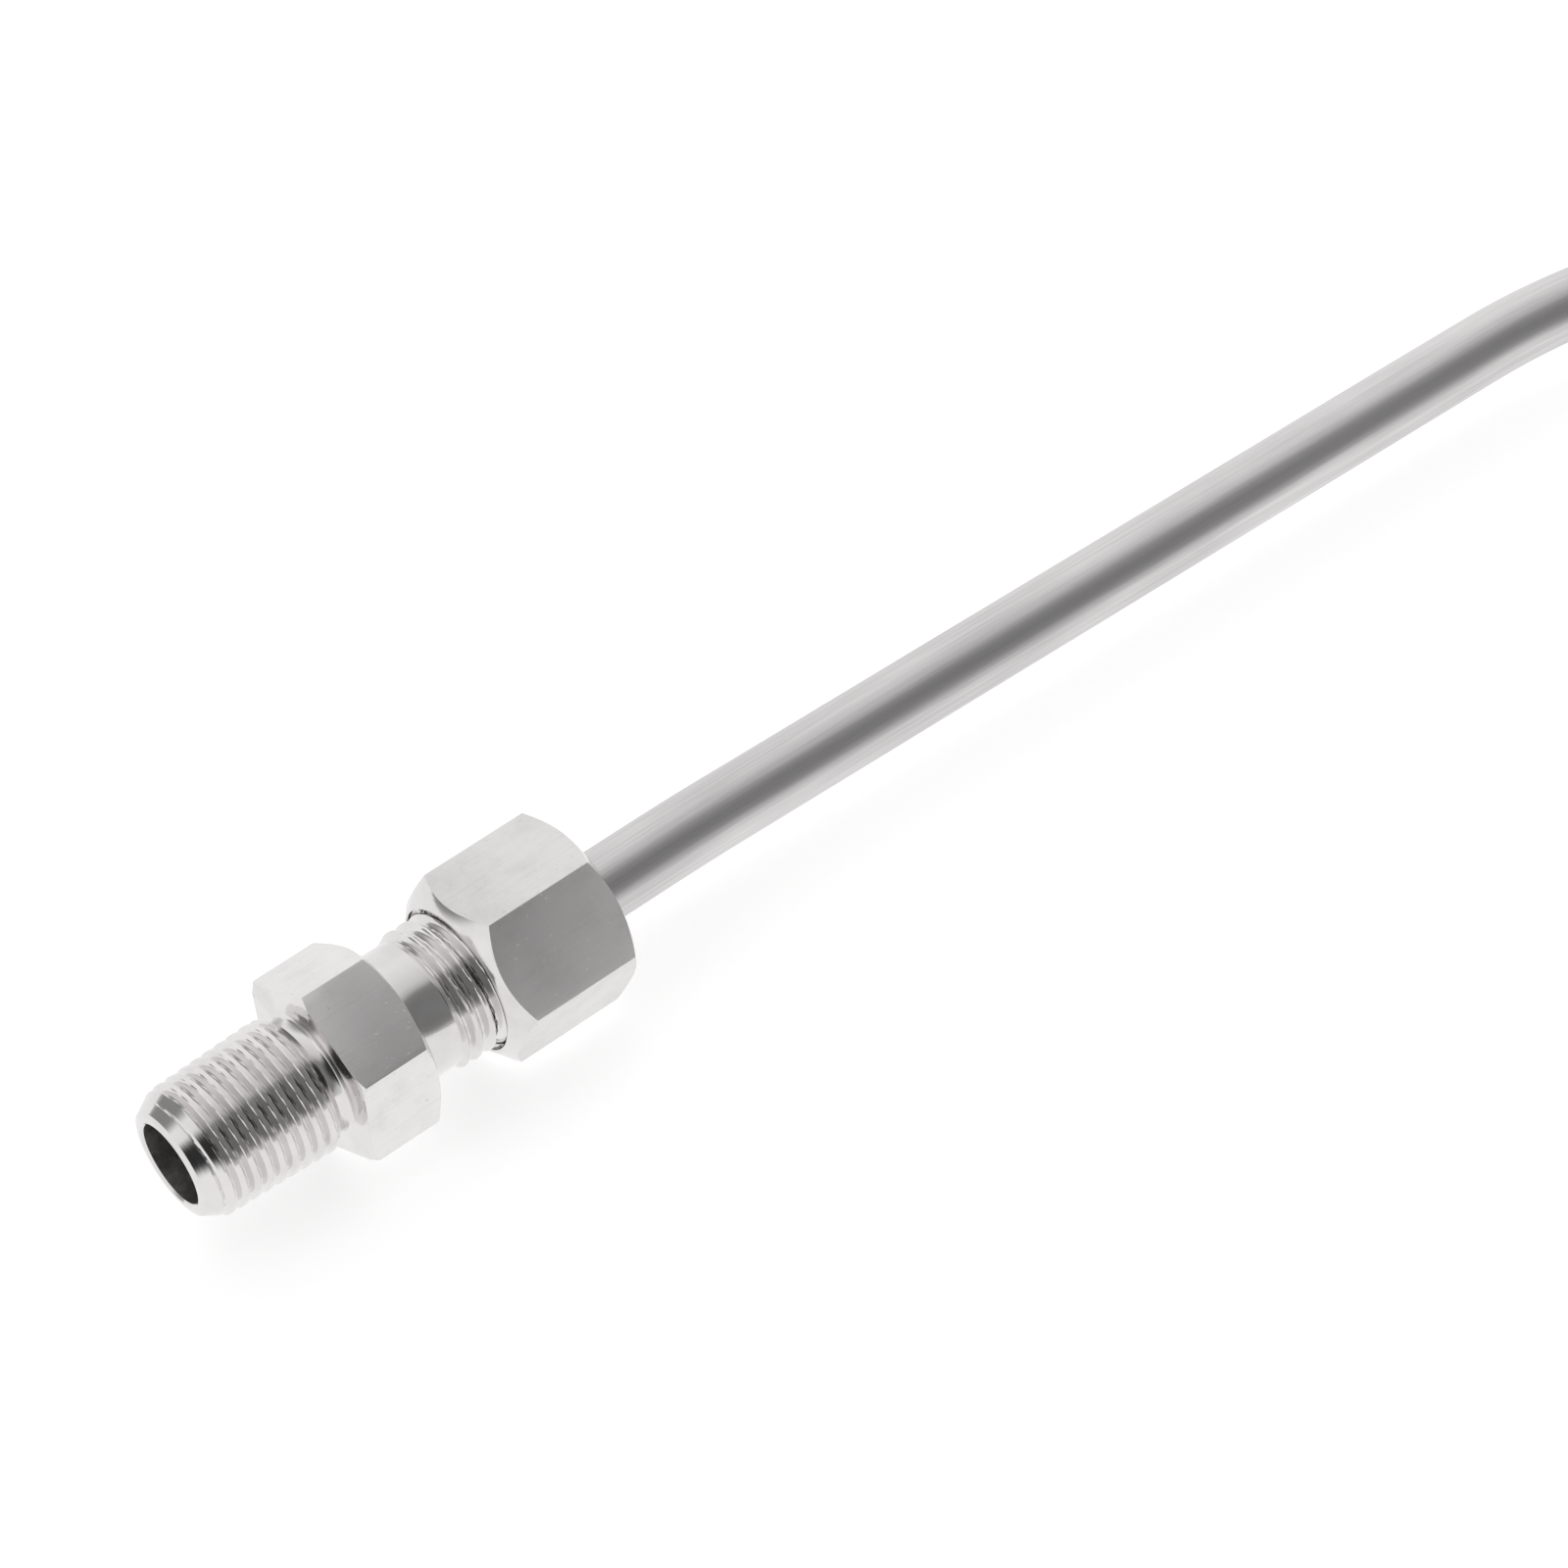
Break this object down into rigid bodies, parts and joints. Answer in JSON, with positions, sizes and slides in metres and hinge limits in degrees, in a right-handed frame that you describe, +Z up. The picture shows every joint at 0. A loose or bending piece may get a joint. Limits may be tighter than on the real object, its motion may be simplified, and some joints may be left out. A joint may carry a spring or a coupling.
{
  "type": "thermocouple probe with compression gland",
  "caption": "Bent metal-sheathed thermocouple probe held in a bored-through compression gland with a taper pipe thread, a collar hexagon and a hexagon nut.",
  "frame": {"origin": "on the gland's axis, at the front face of the collar hexagon", "axes": "+X along the gland's axis from the taper thread's nose to the sheath, +Z up with the probe lying on its hexagons"},
  "size_m": [0.2446, 0.0653, 0.0196],
  "materials": {
    "plated_steel": "bright plated, turned and milled",
    "ring_steel": "turned",
    "sheath_steel": "drawn tube, satin",
    "ferrule_polymer": "white low-friction polymer",
    "bead_ceramic": "fired, unglazed",
    "positive_alloy": "drawn wire",
    "negative_alloy": "drawn wire",
    "junction_alloy": "fused bead",
    "seal_resin": "cast resin",
    "positive_sleeve": "woven sleeving",
    "negative_sleeve": "woven sleeving"
  },
  "bodies": {
    "gland": {"fitting_body": "plated_steel"},
    "ring": {"thrust_ring": "ring_steel"},
    "nut": {"compression_nut": "plated_steel"},
    "seal": {"sealing_ferrule": "ferrule_polymer"},
    "probe": {"sheath_tube": "sheath_steel", "tip_plug": "sheath_steel", "hot_junction": "junction_alloy", "positive_wire": "positive_alloy", "negative_wire": "negative_alloy", "insulator_bead_01": "bead_ceramic", "insulator_bead_02": "bead_ceramic", "insulator_bead_03": "bead_ceramic", "insulator_bead_04": "bead_ceramic", "insulator_bead_05": "bead_ceramic", "insulator_bead_06": "bead_ceramic", "insulator_bead_07": "bead_ceramic", "insulator_bead_08": "bead_ceramic", "insulator_bead_09": "bead_ceramic", "insulator_bead_10": "bead_ceramic", "insulator_bead_11": "bead_ceramic", "insulator_bead_12": "bead_ceramic", "insulator_bead_13": "bead_ceramic", "insulator_bead_14": "bead_ceramic", "insulator_bead_15": "bead_ceramic", "insulator_bead_16": "bead_ceramic", "insulator_bead_17": "bead_ceramic", "insulator_bead_18": "bead_ceramic", "insulator_bead_19": "bead_ceramic", "insulator_bead_20": "bead_ceramic", "potting_seal": "seal_resin", "positive_tail_sleeve": "positive_sleeve", "negative_tail_sleeve": "negative_sleeve"}
  },
  "joints": [
    {"name": "nut_advance", "type": "slide", "parent": "gland", "child": "ring", "axis": [1, 0, 0], "range_m": [0, 0.0075]},
    {"name": "nut_turn", "type": "hinge", "parent": "ring", "child": "nut", "pos_m": [0.016, 0, 0], "axis": [1, 0, 0], "range_deg": [0, 1800]},
    {"name": "sheath_turn", "type": "hinge", "parent": "gland", "child": "seal", "pos_m": [0.024, 0, 0], "axis": [1, 0, 0], "continuous": true},
    {"name": "sheath_slide", "type": "slide", "parent": "seal", "child": "probe", "axis": [1, 0, 0], "range_m": [-0.008, 0.012]}
  ],
  "couplings": [
    {"joint": "nut_turn", "follows": "nut_advance", "rad_per_m": 4188.8}
  ]
}
